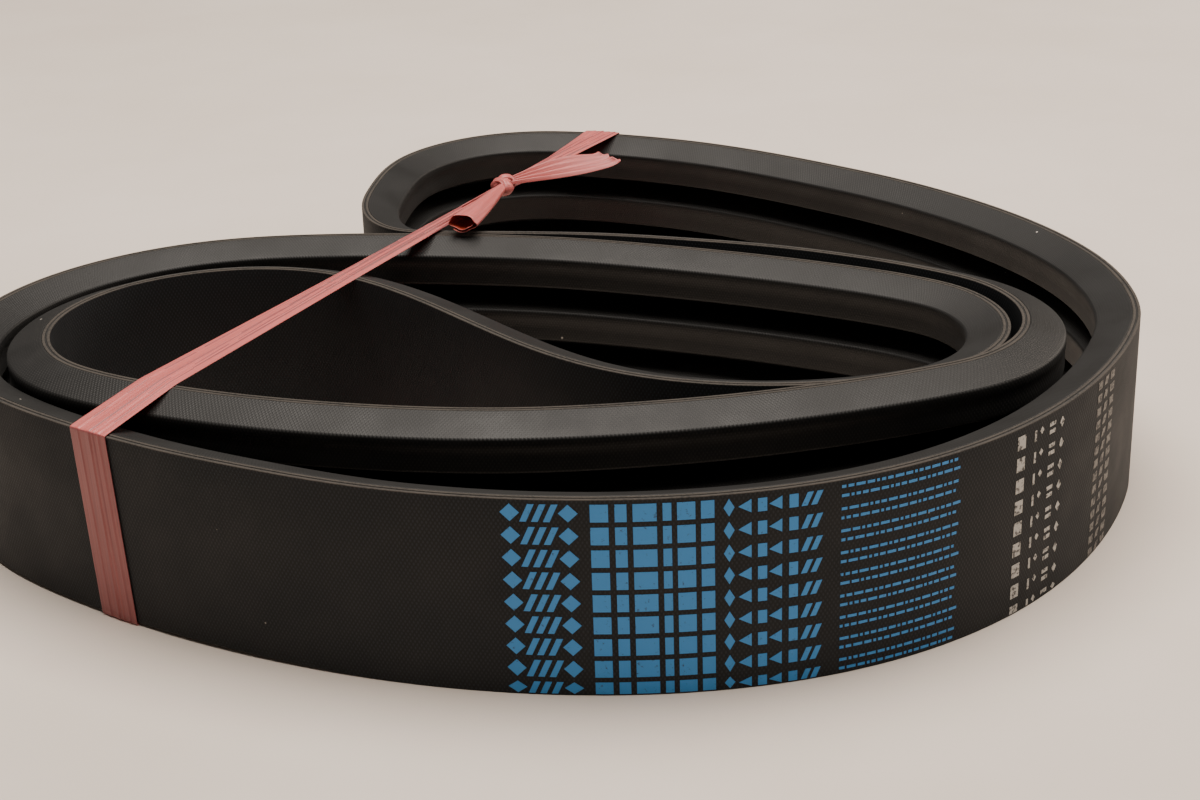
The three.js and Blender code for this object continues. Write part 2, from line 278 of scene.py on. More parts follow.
@dataclass(frozen=True)
class FilmRibbon(Finish):
    """Thin polyethylene film, blown and slit: pink, satin, a little see-through, with fine creases along its
    length painted as lighter and darker threads, a painted shade and highlight of the creases."""

    crease_mm: float = 0.9
    glow: float = 0.12

    def dress(self, tree: Tree, shader: bpy.types.Node) -> None:
        """Creases follow the film's length; the piece's UV map is in millimetres."""
        flat = add_node(tree, "ShaderNodeTexCoord").outputs["UV"]
        stretch = {"Vector": flat, "Scale": (1 / self.crease_mm, 0.02, 1.0)}
        drawn = add_node(tree, "ShaderNodeMapping", stretch).outputs[0]
        looks = {"Vector": drawn, "Scale": 1.0, "Detail": 5.0, "Roughness": 0.65}
        crease = add_node(tree, "ShaderNodeTexNoise", looks).outputs["Fac"]
        # painted crease shade and highlight: the film darkens to its second colour and lightens to its first
        # with the crease noise
        share = self.spread(tree, crease, {"From Min": 0.36, "From Max": 0.62})
        self.surface(tree, shader, self.blend(tree, share, self.second, self.colour), crease, 0.3, 0.55)
        shader.inputs["Subsurface Weight"].default_value = self.glow
        shader.inputs["Subsurface Radius"].default_value = (1.0, 0.35, 0.25)
        shader.inputs["Subsurface Scale"].default_value = 1.5 * MM


@dataclass(frozen=True)
class PrintInk(Finish):
    """Transfer-printed ink on the cured cloth: matte, with the threads showing through it."""

    thread_mm: float = 1.0
    worn: float = 0.5

    def dress(self, tree: Tree, shader: bpy.types.Node) -> None:
        """Wear opens the ink in small patches down to the black cloth."""
        gone = self.cloudy(tree, 1.1, self.worn, self.worn + 0.12)
        grain = self.cloudy(tree, self.thread_mm)
        self.surface(tree, shader, self.blend(tree, gone, self.colour, self.second), grain, 0.04, 0.7)


@dataclass(frozen=True)
class PaperSweep(Finish):
    """Matte photographic paper: warm off-white, with a barely mottled surface."""

    def dress(self, tree: Tree, shader: bpy.types.Node) -> None:
        """The mottle is broad, so the floor reads as one plain tone."""
        mottle = self.cloudy(tree, 180)
        tree.links.new(self.blend(tree, mottle, self.colour, self.second), shader.inputs["Base Color"])
        shader.inputs["Roughness"].default_value = self.roughness
        shader.inputs["Specular IOR Level"].default_value = 0.25


# the band cloth's third colour lightens its weave crossings: a painted highlight, with a little dust
BAND_CLOTH = WovenFabric("band_cloth_cured", "#0d0e10", "#121416", 0.66, highlight_and_dust="#3a4047")
RIB_CLOTH = WovenFabric("rib_cover_cloth", "#101010", "#161616", 0.52, thread_mm=0.9, sheen=0.02)
EDGE = CutEdge("cut_cloth_edge", "#3d3731", "#1d1b18", 0.85)
SKIM = PlainRubber("calendered_skim_rubber", "#141312", "#1b1a19", 0.6)
GUM = PlainRubber("adhesion_gum_rubber", "#151413", "#1d1b1a", 0.5)
CORE = PlainRubber("fibre_loaded_core_rubber", "#1a1918", "#23211f", 0.65)
YARN = CordYarn("dipped_polyester_cord", "#c9b98f", "#8f7f5b", 0.7)
FILM = FilmRibbon("pink_polyethylene_film", "#c86c69", "#b45b59", 0.36)
# a darker copy of the film for its upright stretches: painted shade, and the black cloth showing through the
# thin film
FILM_SHADED_ON_CLOTH = FilmRibbon("pink_film_shaded_over_black_cloth", "#9a5251", "#834447", 0.42, glow=0.04)
FILM_INSIDE = FilmRibbon("pink_film_in_shade", "#b8452f", "#8f2c1c", 0.45)
BLUE_INK = PrintInk("blue_transfer_ink", "#2f86c8", "#1b3a55", 0.5, worn=0.62)
WHITE_INK = PrintInk("white_transfer_ink", "#b9b6b0", "#3a3836", 0.55, worn=0.5)
FADED_INK = PrintInk("faded_transfer_ink", "#77736d", "#2b2927", 0.6, worn=0.46)
PAPER = PaperSweep("matte_paper", "#d8cdc3", "#d2c6bb", 0.85)


# ---- Path of the coil --------------------------------------------------------------------------


def periodic_spline(knots: np.ndarray, values: np.ndarray, at: np.ndarray) -> np.ndarray:
    """Smooth closed curve through values.

    Args:
        knots: increasing positions, one more than there are values; the last closes the loop.
        values: one row for each position.
        at: positions to read the curve at.

    Returns:
        One row for each position in at.
    """
    n = len(values)
    gap = np.diff(knots)
    slope = (np.roll(values, -1, 0) - values) / gap[:, None]
    system = np.zeros((n, n))
    for i in range(n):
        system[i, i - 1] += gap[i - 1]
        system[i, i] += 2 * (gap[i - 1] + gap[i])
        system[i, (i + 1) % n] += gap[i]
    bend = np.linalg.solve(system, 6 * (slope - np.roll(slope, 1, 0)))
    where = np.mod(at, knots[-1])
    i = np.clip(np.searchsorted(knots, where, side="right") - 1, 0, n - 1)
    h = gap[i][:, None]
    left = (where - knots[i])[:, None]
    right = h - left
    after = (i + 1) % n
    return (
        (bend[i] * right**3 + bend[after] * left**3) / (6 * h)
        + (values[i] / h - bend[i] * h / 6) * right
        + (values[after] / h - bend[after] * h / 6) * left
    )


class CoilPath:
    """Where the band's back lies round the coil, and which way its section faces, in metres.

    The four long corner lines of the band's outer ply give it. The belt is followed with its ribs
    on the right, and arc length 0 is a little behind the left end, where the loops hide it.
    """

    START_Y = 0.02

    def __init__(self, node: bpy.types.Object, samples: int = 3200) -> None:
        corners = self.corner_lines(node)
        high = sorted(corners, key=lambda line: -line[:, 2].mean())[:2]
        low = [line for line in corners if not any(line is h for h in high)]
        back_high = max(high, key=self.closed_length)
        back_low = max(low, key=self.closed_length)
        back_low = self.clockwise(back_low)
        back_high = self.alongside(back_low, back_high)
        knots = np.concatenate([[0.0], np.cumsum(self.steps(back_low))])
        fine = np.linspace(0, knots[-1], samples, endpoint=False)
        foot = periodic_spline(knots, back_low, fine)
        head = periodic_spline(knots, back_high, fine)
        left_most = self.start_index(foot)
        foot, head = np.roll(foot, -left_most, 0), np.roll(head, -left_most, 0)
        run = np.concatenate([[0.0], np.cumsum(self.steps(foot))])
        self.length = float(run[-1])
        self.width = float(np.linalg.norm(head - foot, axis=1).mean())
        self.run, self.foot = run, foot
        up = head - foot
        self.up = up / np.linalg.norm(up, axis=1)[:, None]
        way = np.roll(foot, -1, 0) - np.roll(foot, 1, 0)
        inward = np.cross(way, self.up)
        self.inward = inward / np.linalg.norm(inward, axis=1)[:, None]

    @staticmethod
    def corner_lines(node: bpy.types.Object) -> list[np.ndarray]:
        """The closed lines along a layer's sharp corners, from a merged copy of its mesh."""
        mesh = bmesh.new()
        mesh.from_mesh(node.data)
        bmesh.ops.remove_doubles(mesh, verts=mesh.verts, dist=2e-6)
        beside: dict = {}
        for edge in mesh.edges:
            if len(edge.link_faces) == 2 and edge.calc_face_angle() > math.radians(60):
                for a, b in (edge.verts, reversed(edge.verts)):
                    beside.setdefault(a, []).append(b)
        lines, seen = [], set()
        for first in beside:
            if first in seen:
                continue
            line, here, came = [], first, None
            while here is not None and here not in seen:
                seen.add(here)
                line.append(here.co.copy())
                ahead = [v for v in beside[here] if v is not came and v not in seen]
                here, came = (ahead[0] if ahead else None), here
            lines.append(np.array(line, float))
        mesh.free()
        longest = max(len(line) for line in lines)
        return [line for line in lines if len(line) > longest * 0.8]

    @staticmethod
    def steps(line: np.ndarray) -> np.ndarray:
        """Distance from each point of a closed line to the next."""
        return np.linalg.norm(np.roll(line, -1, 0) - line, axis=1)

    @classmethod
    def closed_length(cls, line: np.ndarray) -> float:
        """Length of a closed line."""
        return float(cls.steps(line).sum())

    @staticmethod
    def clockwise(line: np.ndarray) -> np.ndarray:
        """The line followed clockwise as seen from above."""
        after = np.roll(line, -1, 0)
        area = (line[:, 0] * after[:, 1] - after[:, 0] * line[:, 1]).sum()
        return line if area < 0 else line[::-1]

    @classmethod
    def alongside(cls, guide: np.ndarray, line: np.ndarray) -> np.ndarray:
        """The line started and turned so that its points stand beside the guide's points."""
        best, found = None, line
        for turned in (line, line[::-1]):
            start = int(np.linalg.norm(turned - guide[0], axis=1).argmin())
            moved = np.roll(turned, -start, 0)
            apart = float(np.linalg.norm(moved - guide, axis=1).sum())
            if best is None or apart < best:
                best, found = apart, moved
        return found

    def start_index(self, foot: np.ndarray) -> int:
        """The place near the left end where the pattern's seam is least seen."""
        gap = np.abs(foot[:, 1] - self.START_Y) + np.maximum(0, foot[:, 0] - foot[:, 0].min() - 0.03)
        return int(gap.argmin())

    def frames(self, at: np.ndarray) -> tuple[np.ndarray, np.ndarray, np.ndarray]:
        """Foot of the band's back, inward and up directions at some arc lengths in metres."""
        where = np.mod(at, self.length)
        read = []
        for values in (self.foot, self.inward, self.up):
            closed = np.vstack([values, values[:1]])
            read.append(np.stack([np.interp(where, self.run, closed[:, k]) for k in range(3)], 1))
        for direction in read[1:]:
            direction /= np.linalg.norm(direction, axis=1)[:, None]
        return read[0], read[1], read[2]

    def place(self, at: np.ndarray, inward: np.ndarray, up: np.ndarray) -> np.ndarray:
        """Points of the belt's section, set in from the back and up from the lower edge, in metres."""
        foot, aside, rise = self.frames(at)
        return foot + aside * inward[:, None] + rise * up[:, None]

    def front_run(self) -> float:
        """Arc length in metres of the front run's nearest point."""
        return float(self.run[int(self.foot[:, 1].argmin())])


# ---- Mesh helpers --------------------------------------------------------------------------------


def new_object(name: str, mesh: Grid, finishes: list[Finish], smooth: bool = True) -> bpy.types.Object:
    """Makes a piece from a finished bmesh.

    Args:
        name: the piece's name.
        mesh: its shape, in place; it is freed.
        finishes: its finishes, in slot order.
        smooth: whether its faces are shaded smooth.

    Returns:
        The new object, in the scene.
    """
    data = bpy.data.meshes.new(name)
    mesh.to_mesh(data)
    mesh.free()
    for finish in finishes:
        data.materials.append(finish.material())
    if smooth:
        data.shade_smooth()
    piece = bpy.data.objects.new(name, data)
    bpy.context.scene.collection.objects.link(piece)
    return piece


def join(whole: Grid, part: Grid) -> None:
    """Adds a finished bmesh to another and frees it."""
    data = bpy.data.meshes.new("part")
    part.to_mesh(data)
    part.free()
    whole.from_mesh(data)
    bpy.data.meshes.remove(data)


def close_up(mesh: Grid) -> None:
    """Merges the points along a grid's seams and turns its faces outwards."""
    bmesh.ops.remove_doubles(mesh, verts=mesh.verts, dist=1e-7)
    bmesh.ops.recalc_face_normals(mesh, faces=mesh.faces)


def add_wall(piece: bpy.types.Object, thickness: float) -> bpy.types.Modifier:
    """Gives a film its thickness in millimetres, half to each side."""
    wall = piece.modifiers.new("film_wall", "SOLIDIFY")
    wall.thickness = thickness * MM
    wall.offset = 0.0
    return wall


def shaped_grid(points: np.ndarray, flat: np.ndarray) -> Grid:
    """A grid whose points and UV map are set.

    Args:
        points: (rows + 1, columns + 1, 3) places in metres.
        flat: (rows + 1, columns + 1, 2) UV values in millimetres.

    Returns:
        The grid as a bmesh, with nothing merged.
    """
    rows, columns = points.shape[0] - 1, points.shape[1] - 1
    mesh = bmesh.new()
    layer = mesh.loops.layers.uv.new("UVMap")
    bmesh.ops.create_grid(mesh, x_segments=columns, y_segments=rows, size=1.0, calc_uvs=True)
    for vert in mesh.verts:
        i = round((vert.co.x + 1) / 2 * columns)
        j = round((vert.co.y + 1) / 2 * rows)
        vert.index = j * (columns + 1) + i
    spot = points.reshape(-1, 3)
    chart = flat.reshape(-1, 2)
    for face in mesh.faces:
        for loop in face.loops:
            loop[layer].uv = chart[loop.vert.index]
    for vert in mesh.verts:
        vert.co = spot[vert.index]
    return mesh


def rounded_section(corners: list[tuple[float, float, float]], steps: int = 4) -> np.ndarray:
    """A closed outline with rounded corners.

    Args:
        corners: (inward, up, radius) of each corner, in order.
        steps: how many sides a rounded corner has.

    Returns:
        The outline's points, one row each.
    """
    points = []
    for k, (x, y, radius) in enumerate(corners):
        here = np.array([x, y])
        before = np.array(corners[k - 1][:2])
        after = np.array(corners[(k + 1) % len(corners)][:2])
        back = (before - here) / np.linalg.norm(before - here)
        ahead = (after - here) / np.linalg.norm(after - here)
        if radius <= 0:
            points.append(here)
            continue
        half = math.acos(float(np.clip(back @ ahead, -1, 1))) / 2
        reach = radius / math.tan(half)
        for t in np.linspace(0, 1, steps + 1):
            start, end = here + back * reach, here + ahead * reach
            points.append((1 - t) ** 2 * start + 2 * t * (1 - t) * here + t**2 * end)
    return np.array(points)


def with_sides(outline: np.ndarray, longest: float) -> np.ndarray:
    """The outline with points added so that no side is longer than a length."""
    filled = []
    for k, here in enumerate(outline):
        ahead = outline[(k + 1) % len(outline)]
        parts = max(1, math.ceil(np.linalg.norm(ahead - here) / longest))
        filled += [here + (ahead - here) * t / parts for t in range(parts)]
    return np.array(filled)


@dataclass
class BeltLayer:
    """One closed layer of the belt, carried round the whole coil."""

    name: str
    outline: np.ndarray  # closed section as (inward, up) in millimetres
    step: float = 3.0

    def build(
        self, path: CoilPath, finishes: list[Finish], edge_at: tuple[float, float] | None = None
    ) -> bpy.types.Object:
        """Wraps a grid round the section and along the path.

        Args:
            path: the coil.
            finishes: finishes in slot order; the second is for the cut edges.
            edge_at: faces below the first height or above the second get the second finish.

        Returns:
            The layer as a closed piece.
        """
        rows = round(path.length / (self.step * MM))
        at = np.linspace(0, path.length, rows + 1)
        section = np.vstack([self.outline, self.outline[:1]])
        foot, inward, up = path.frames(at)
        points = (
            foot[:, None]
            + inward[:, None] * section[None, :, :1] * MM
            + up[:, None] * section[None, :, 1:] * MM
        )
        points[-1] = points[0]
        girth = np.concatenate([[0.0], np.cumsum(np.linalg.norm(np.diff(section, axis=0), axis=1))])
        flat = np.stack(np.broadcast_arrays(girth[None, :], at[:, None] / MM), -1)
        mesh = shaped_grid(points, flat)
        if edge_at:
            middle = (section[:-1, 1] + section[1:, 1]) / 2
            for face in mesh.faces:
                height = middle[min(loop.vert.index % len(section) for loop in face.loops)]
                face.material_index = int(not edge_at[0] <= height <= edge_at[1])
        close_up(mesh)
        return new_object(self.name, mesh, finishes)


def finish_piece(piece: bpy.types.Object, body: str, slot: str, nodes: list[str]) -> None:
    """Puts a piece on its body, hides the solids it stands for and reports it."""
    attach(piece, body)
    if nodes:
        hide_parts(*nodes)
    LOG.info("%s: %d faces on %s", piece.name, len(piece.data.polygons), body)


# ---- The belt ------------------------------------------------------------------------------------


@dataclass
class TieBand:
    """The woven back of the belt: two plies of cloth with skim rubber between them."""

    width: float
    outer_to: float = 0.92
    skim_to: float = 1.42
    inner_to: float = 2.34
    apart: float = 0.02
    skim_inset: float = 0.22
    edge_radius: float = 0.22

    def build(self, path: CoilPath) -> None:
        """Makes the three layers."""
        cloth, lap = [BAND_CLOTH, EDGE], self.edge_radius * 0.9
        layers = (
            ("outer_ply", "_cloth", 0.0, self.outer_to, cloth, "band_fabric"),
            ("skim", "_layer", self.outer_to + self.apart, self.skim_to, [SKIM], "skim_rubber"),
            ("inner_ply", "_cloth", self.skim_to + self.apart, self.inner_to, cloth, "band_fabric"),
        )
        for name, ending, top, base, finishes, slot in layers:
            inset, radius = (0.0, self.edge_radius) if finishes is cloth else (self.skim_inset, 0.0)
            low, high = inset, self.width - inset
            corners = [(top, low, radius), (top, high, radius), (base, high, radius), (base, low, radius)]
            layer = BeltLayer(f"tie_band_{name}{ending}", with_sides(rounded_section(corners, 3), 12.0))
            piece = layer.build(path, finishes, (lap, self.width - lap) if finishes is cloth else None)
            finish_piece(piece, "coil", slot, [f"tie_band_{name}" + ("_rubber" if name == "skim" else "")])


@dataclass
class Rib:
    """One wrapped V rib: a cloth jacket round gum, cords and core."""

    number: int
    pitch: float = 19.05
    top_width: float = 17.9
    top: float = 2.38
    base: float = 13.2
    wall_angle: float = 20.0
    jacket: float = 0.8
    corner: float = 1.3
    lap_step: float = 0.18  # where the cover's free edge laps over itself on the base
    cord: float = 1.4
    cord_top: float = 4.7

    def __post_init__(self) -> None:
        self.middle = self.top_width / 2 + (self.number - 1) * self.pitch
        self.slant = self.jacket / math.cos(math.radians(self.wall_angle))

    def half(self, depth: float) -> float:
        """Half the rib's outer width at a depth under the band's back."""
        return self.top_width / 2 - (depth - 2.6) * math.tan(math.radians(self.wall_angle))

    def jacket_outline(self) -> np.ndarray:
        """The cover's section: walls, rounded base with its lap, and the same inside."""
        floor, m, top_half = self.base - self.jacket, self.middle, self.half(self.top)
        outer, inner = self.half(self.base), self.half(floor) - self.slant
        lap = outer * 0.35
        corners = [
            (self.top, m + top_half, 0.3),
            (self.base, m + outer, self.corner),
            (self.base, m + lap + 0.25, 0.0),
            (self.base - self.lap_step, m + lap, 0.0),
            (self.base - self.lap_step * 0.4, m - outer, self.corner),
            (self.top, m - top_half, 0.3),
            (self.top, m - top_half + self.slant, 0.0),
            (floor, m - inner, 0.5),
            (floor, m + inner, 0.5),
            (self.top, m + top_half - self.slant, 0.0),
        ]
        return with_sides(rounded_section(corners, 5), 4.0)

    def filling(self, top: float, base: float) -> np.ndarray:
        """The section of a layer that fills the jacket between two depths."""
        inset = (self.jacket + 0.12) / math.cos(math.radians(self.wall_angle))
        upper, lower, m = self.half(top) - inset, self.half(base) - inset, self.middle
        corners = [(top, m - upper), (top, m + upper), (base, m + lower), (base, m - lower)]
        return rounded_section([(depth, up, 0.0) for depth, up in corners])

    def cord_outline(self) -> np.ndarray:
        """The section of the cords laid side by side: a row of joined rounds."""
        half = self.half(self.cord_top + self.cord) - self.slant - 0.2
        count = int(2 * half / self.cord)
        radius = half / count
        middles = self.middle - half + radius * (2 * np.arange(count) + 1)
        depth = self.cord_top + self.cord / 2
        angles = np.linspace(math.pi * 0.85, math.pi * 0.15, 4)
        sides = []
        for side, row in ((-1, middles), (1, middles[::-1])):
            for m in row:
                sides += [
                    (depth + side * math.sin(a) * radius, m - side * math.cos(a) * radius) for a in angles
                ]
        return np.array(sides)

    def build(self, path: CoilPath) -> None:
        """Makes the rib's four layers."""
        gum = self.filling(2.7, self.cord_top - 0.1)
        core = self.filling(self.cord_top + self.cord + 0.1, self.base - self.jacket - 0.25)
        pieces = (
            ("cover_jacket", self.jacket_outline(), RIB_CLOTH, "rib_cover", 3.0),
            ("adhesion_gum", gum, GUM, "adhesion_gum", 6.0),
            ("tensile_cords", self.cord_outline(), YARN, "tensile_cord", 6.0),
            ("compression_core", core, CORE, "core_rubber", 6.0),
        )
        for kind, outline, finish, slot, step in pieces:
            piece = BeltLayer(f"rib_{self.number}_{kind}_layer", outline, step).build(path, [finish])
            finish_piece(piece, "coil", slot, [f"rib_{self.number}_{kind}"])


# ---- The film ribbon -----------------------------------------------------------------------------


class Stretch(Enum):
    """The four stretches of the ribbon's loop round the coil."""

    FRONT = 0
    TOP = 1
    BACK = 2
    UNDER = 3


@dataclass
class Thread:
    """Points of one thread of the film, in order round the coil, in metres."""

    bend: float
    skew: float
    spots: list = field(default_factory=list)
    outs: list = field(default_factory=list)
    where: list = field(default_factory=list)

    def add(self, x: float, z: float, out: tuple, stretch: Stretch, slide: float = 0.0) -> None:
        """Adds one point, the way it faces and its stretch; slide is its share of the skew."""
        self.spots.append((x, z, slide * self.skew))
        self.outs.append(out)
        self.where.append(stretch.value)

    def corner(
        self, x: float, z: float, first: float, last: float, stretch: Stretch, slide: float = 0.0
    ) -> None:
        """Adds a small round bend about a point, between two directions in degrees."""
        for angle in np.radians(np.linspace(first, last, 5)):
            c, s = math.cos(angle), math.sin(angle)
            self.add(x + self.bend * c, z + self.bend * s, (c, s), stretch, slide)


@dataclass
class TieRibbon:
    """The pleated ribbon round the coil and its knot."""

    width: float = 13.5
    film: float = 0.22
    clearance: float = 0.42
    under: float = 0.24  # height of the film that runs under the coil
    columns: int = 64
    rows: tuple = (34, 150, 24, 40)  # steps up the front, over, down the back and under
    bend: float = 0.5
    waist: float = 0.36  # share of the width that is left where the knot gathers it
    pinch: float = 0.24
    pinch_reach: float = 9.0
    skew: float = -3.2  # how far aside the front strap's foot stands from its head
    folds: tuple = ((-4.9, 0.3), (-3.0, 0.24), (-0.4, 0.4), (3.4, 0.26))  # place, height
    fold_run: float = 1.5  # how far a fold slopes away from its lip
    deepen: float = 2.2  # how much the folds deepen as the film is gathered
    curl: float = 2.6
    turns: tuple = (  # the knot's turns, as knot_turn takes them
        (2.3, 1.75, 72, 0.35, 0.0, -1.2),
        (2.2, 1.6, -38, -0.5, 0.6, 1.5),
        (2.0, 1.5, 8, 1.1, 0.2, 0.3),
    )

    origin: np.ndarray = field(init=False)
    ahead: np.ndarray = field(init=False)
    aside: np.ndarray = field(init=False)
    knot_centre: Vector = field(init=False)
    knot_at: float = field(init=False)

    def __post_init__(self) -> None:
        node = frame["nodes"][STRAND_NODE]
        spots = np.array([v.co for v in node.data.vertices], float)[:, :2]
        centre = spots.mean(0)
        axis = np.linalg.svd(spots - centre, full_matrices=False)[2][0]
        self.ahead = axis if axis[1] > 0 else -axis
        self.aside = np.array([-self.ahead[1], self.ahead[0]])
        across = spots @ self.aside
        along = spots @ self.ahead
        self.origin = self.ahead * along.min() + self.aside * (across.min() + across.max()) / 2
        low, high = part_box(KNOT_NODE)
        self.knot_centre = (low + high) / 2
        self.knot_at = float((np.array(self.knot_centre)[:2] - self.origin) @ self.ahead)

    def crossings(self, path: CoilPath, offset: float, up: float) -> np.ndarray:
        """Where a line along the belt's back crosses the ribbon's plane.

        Args:
            path: the coil.
            offset: how far aside the plane is, in metres.
            up: height of the line on the band, in metres.

        Returns:
            (distance, height) of each crossing, in metres.
        """
        line = path.foot + path.up * up
        beyond = np.roll(line, -1, 0)
        a = (line[:, :2] - self.origin) @ self.aside - offset
        b = (beyond[:, :2] - self.origin) @ self.aside - offset
        hit = np.nonzero(a * b < 0)[0]
        share = (a[hit] / (a[hit] - b[hit]))[:, None]
        spot = line[hit] * (1 - share) + beyond[hit] * share
        return np.stack([(spot[:, :2] - self.origin) @ self.ahead, spot[:, 2]], 1)

    @staticmethod
    def upper_hull(points: np.ndarray) -> np.ndarray:
        """The taut line over some points, from the nearest to the farthest."""
        chain: list = []
        for p in points[np.lexsort((points[:, 1], points[:, 0]))]:
            while len(chain) > 1:
                (ax, ay), (bx, by) = chain[-2], chain[-1]
                if (bx - ax) * (p[1] - ay) - (by - ay) * (p[0] - ax) < 0:
                    break
                chain.pop()
            chain.append(p)
        return np.array(chain)

    def thread(self, path: CoilPath, offset: float) -> tuple[np.ndarray, np.ndarray, np.ndarray]:
        """One thread of the film round the coil, starting under the front edge.

        Args:
            path: the coil.
            offset: how far aside of the ribbon's middle the thread lies, in metres.

        Returns:
            (distance, height, slide) points, the outward way at each, and each one's stretch.
        """
        gap, bend, floor = self.clearance * MM, self.bend * MM, self.under * MM
        line = Thread(bend, self.skew * MM)
        low = self.crossings(path, offset, 0.0)
        slid = self.crossings(path, offset + line.skew, 0.0)
        over = self.upper_hull(self.crossings(path, offset, path.width))
        front_foot, back_foot = slid[:, 0].min(), low[:, 0].max()
        front, back = over[0, 0] - gap, over[-1, 0] + gap
        front_top, back_top = over[0, 1] + gap - bend, over[-1, 1] + gap - bend
        up, across, down, under = self.rows
        for t in np.linspace(0, 1, up)[:-1]:
            x = front_foot - gap + (front - front_foot + gap) * t
            line.add(x, floor + bend + (front_top - floor - bend) * t, (-1, 0), Stretch.FRONT, 1 - t)
        line.corner(front + bend, front_top, 180, 90, Stretch.TOP)
        for t in np.linspace(0, 1, across)[1:-1]:
            x = front + bend + (back - front - 2 * bend) * t
            line.add(x, float(np.interp(x, over[:, 0], over[:, 1])) + gap, (0, 1), Stretch.TOP)
        line.corner(back - bend, back_top, 90, 0, Stretch.BACK)
        for t in np.linspace(0, 1, down)[1:-1]:
            x = back + (back_foot + gap - back) * t
            line.add(x, back_top + (floor + bend - back_top) * t, (1, 0), Stretch.BACK)
        line.corner(back_foot + gap - bend, floor + bend, 0, -90, Stretch.UNDER)
        for t in np.linspace(0, 1, under)[1:-1]:
            line.add(back_foot + (front_foot - back_foot) * t, floor, (0, -1), Stretch.UNDER, t)
        line.corner(front_foot - gap + bend, floor + bend, -90, -180, Stretch.UNDER, 1)
        return np.array(line.spots), np.array(line.outs, float), np.array(line.where)

    def pleat(self, aside: np.ndarray, drift: float) -> np.ndarray:
        """Height of the overlapping folds across the film, in millimetres: a sharp lip, then a slope."""
        height = np.zeros_like(aside)
        for k, (place, tall) in enumerate(self.folds):
            past = aside - place - 0.7 * math.sin(drift * (0.9 + 0.23 * k) + 1.7 * k)
            height += tall * np.clip(past / 0.22, 0, 1) * np.exp(-np.clip(past, 0, None) / self.fold_run)
        return height

    def row(
        self, spots: np.ndarray, outs: np.ndarray, stretch: Stretch, travelled: float, narrow: float
    ) -> np.ndarray:
        """One row of points across the film.

        Args:
            spots: each thread's point on the row.
            outs: the way each one faces.
            stretch: which stretch the row is on.
            travelled: how far along the film it is, in millimetres.
            narrow: the share of the width that is left.

        Returns:
            The row's points in metres, in the part's frame.
        """
        half = self.width / 2
        asides = np.linspace(-half, half, self.columns + 1)
        depth = 0.0 if stretch is Stretch.UNDER else 1 + self.deepen * (1 - narrow)
        rise = self.pleat(asides, travelled * 0.011) * depth
        if stretch is Stretch.TOP:
            rise = rise + (1 - narrow) * self.curl * (0.5 - (asides / half) ** 2)
        rise = rise * MM
        share = min(1.0, (1 - narrow) * 6) if narrow < 0.999 else 0.0
        base = spots[:, :2] * (1 - share) + spots[self.columns // 2, :2] * share
        x, z = (base + outs * rise[:, None]).T
        across = asides * narrow * MM + spots[:, 2]
        plan = self.origin + x[:, None] * self.ahead + across[:, None] * self.aside
        return np.column_stack([plan, z])

    def strand(self, path: CoilPath) -> bpy.types.Object:
        """The film laid round the coil, gathered towards the knot."""
        asides = np.linspace(-self.width / 2, self.width / 2, self.columns + 1)
        threads = [self.thread(path, a * MM) for a in asides]
        spots = np.stack([t[0] for t in threads], 1)
        outs = np.stack([t[1] for t in threads], 1)
        where = threads[0][2]
        middle = spots[:, self.columns // 2, :2]
        gaps = np.linalg.norm(np.diff(middle, axis=0), axis=1) / MM
        travelled = np.concatenate([[0.0], np.cumsum(gaps)])
        top = middle[where == Stretch.TOP.value, 0]
        rows = []
        for j, stretch in enumerate(map(Stretch, where)):
            narrow = self.gather(middle[j, 0], top.min(), top.max()) if stretch is Stretch.TOP else 1.0
            rows.append(self.row(spots[j], outs[j], stretch, travelled[j], narrow))
        flat = np.stack(np.broadcast_arrays(asides[None, :], travelled[:, None]), -1)
        mesh = shaped_grid(np.array([*rows, rows[0]]), np.concatenate([flat, flat[:1] + (0, travelled[-1])]))
        mesh.normal_update()
        for face in mesh.faces:
            # upright faces take the darker film: painted shade, with the black cloth showing through the film
            face.material_index = int(abs(face.normal.z) < 0.75)
        close_up(mesh)
        piece = new_object("film_strand", mesh, [FILM, FILM_SHADED_ON_CLOTH])
        add_wall(piece, self.film)
        return piece

    def gather(self, x: float, start: float, end: float) -> float:
        """How much of the width is left at a distance on the top stretch.

        Args:
            x: distance along the ribbon's line, in metres.
            start: where the top stretch starts.
            end: where it ends.

        Returns:
            The share of the width that is left.
        """
        if x < self.knot_at:
            loose = float(np.clip(((self.knot_at - x) / (self.knot_at - start) - 0.12) / 0.86, 0, 1))
        else:
            loose = float(np.clip((x - self.knot_at) / (end - self.knot_at), 0, 1)) ** 1.6
        share = self.waist + (1 - self.waist) * loose
        close = max(0.0, 1 - abs(x - self.knot_at) / (self.pinch_reach * MM))
        return share * (1 - close) + self.pinch * close

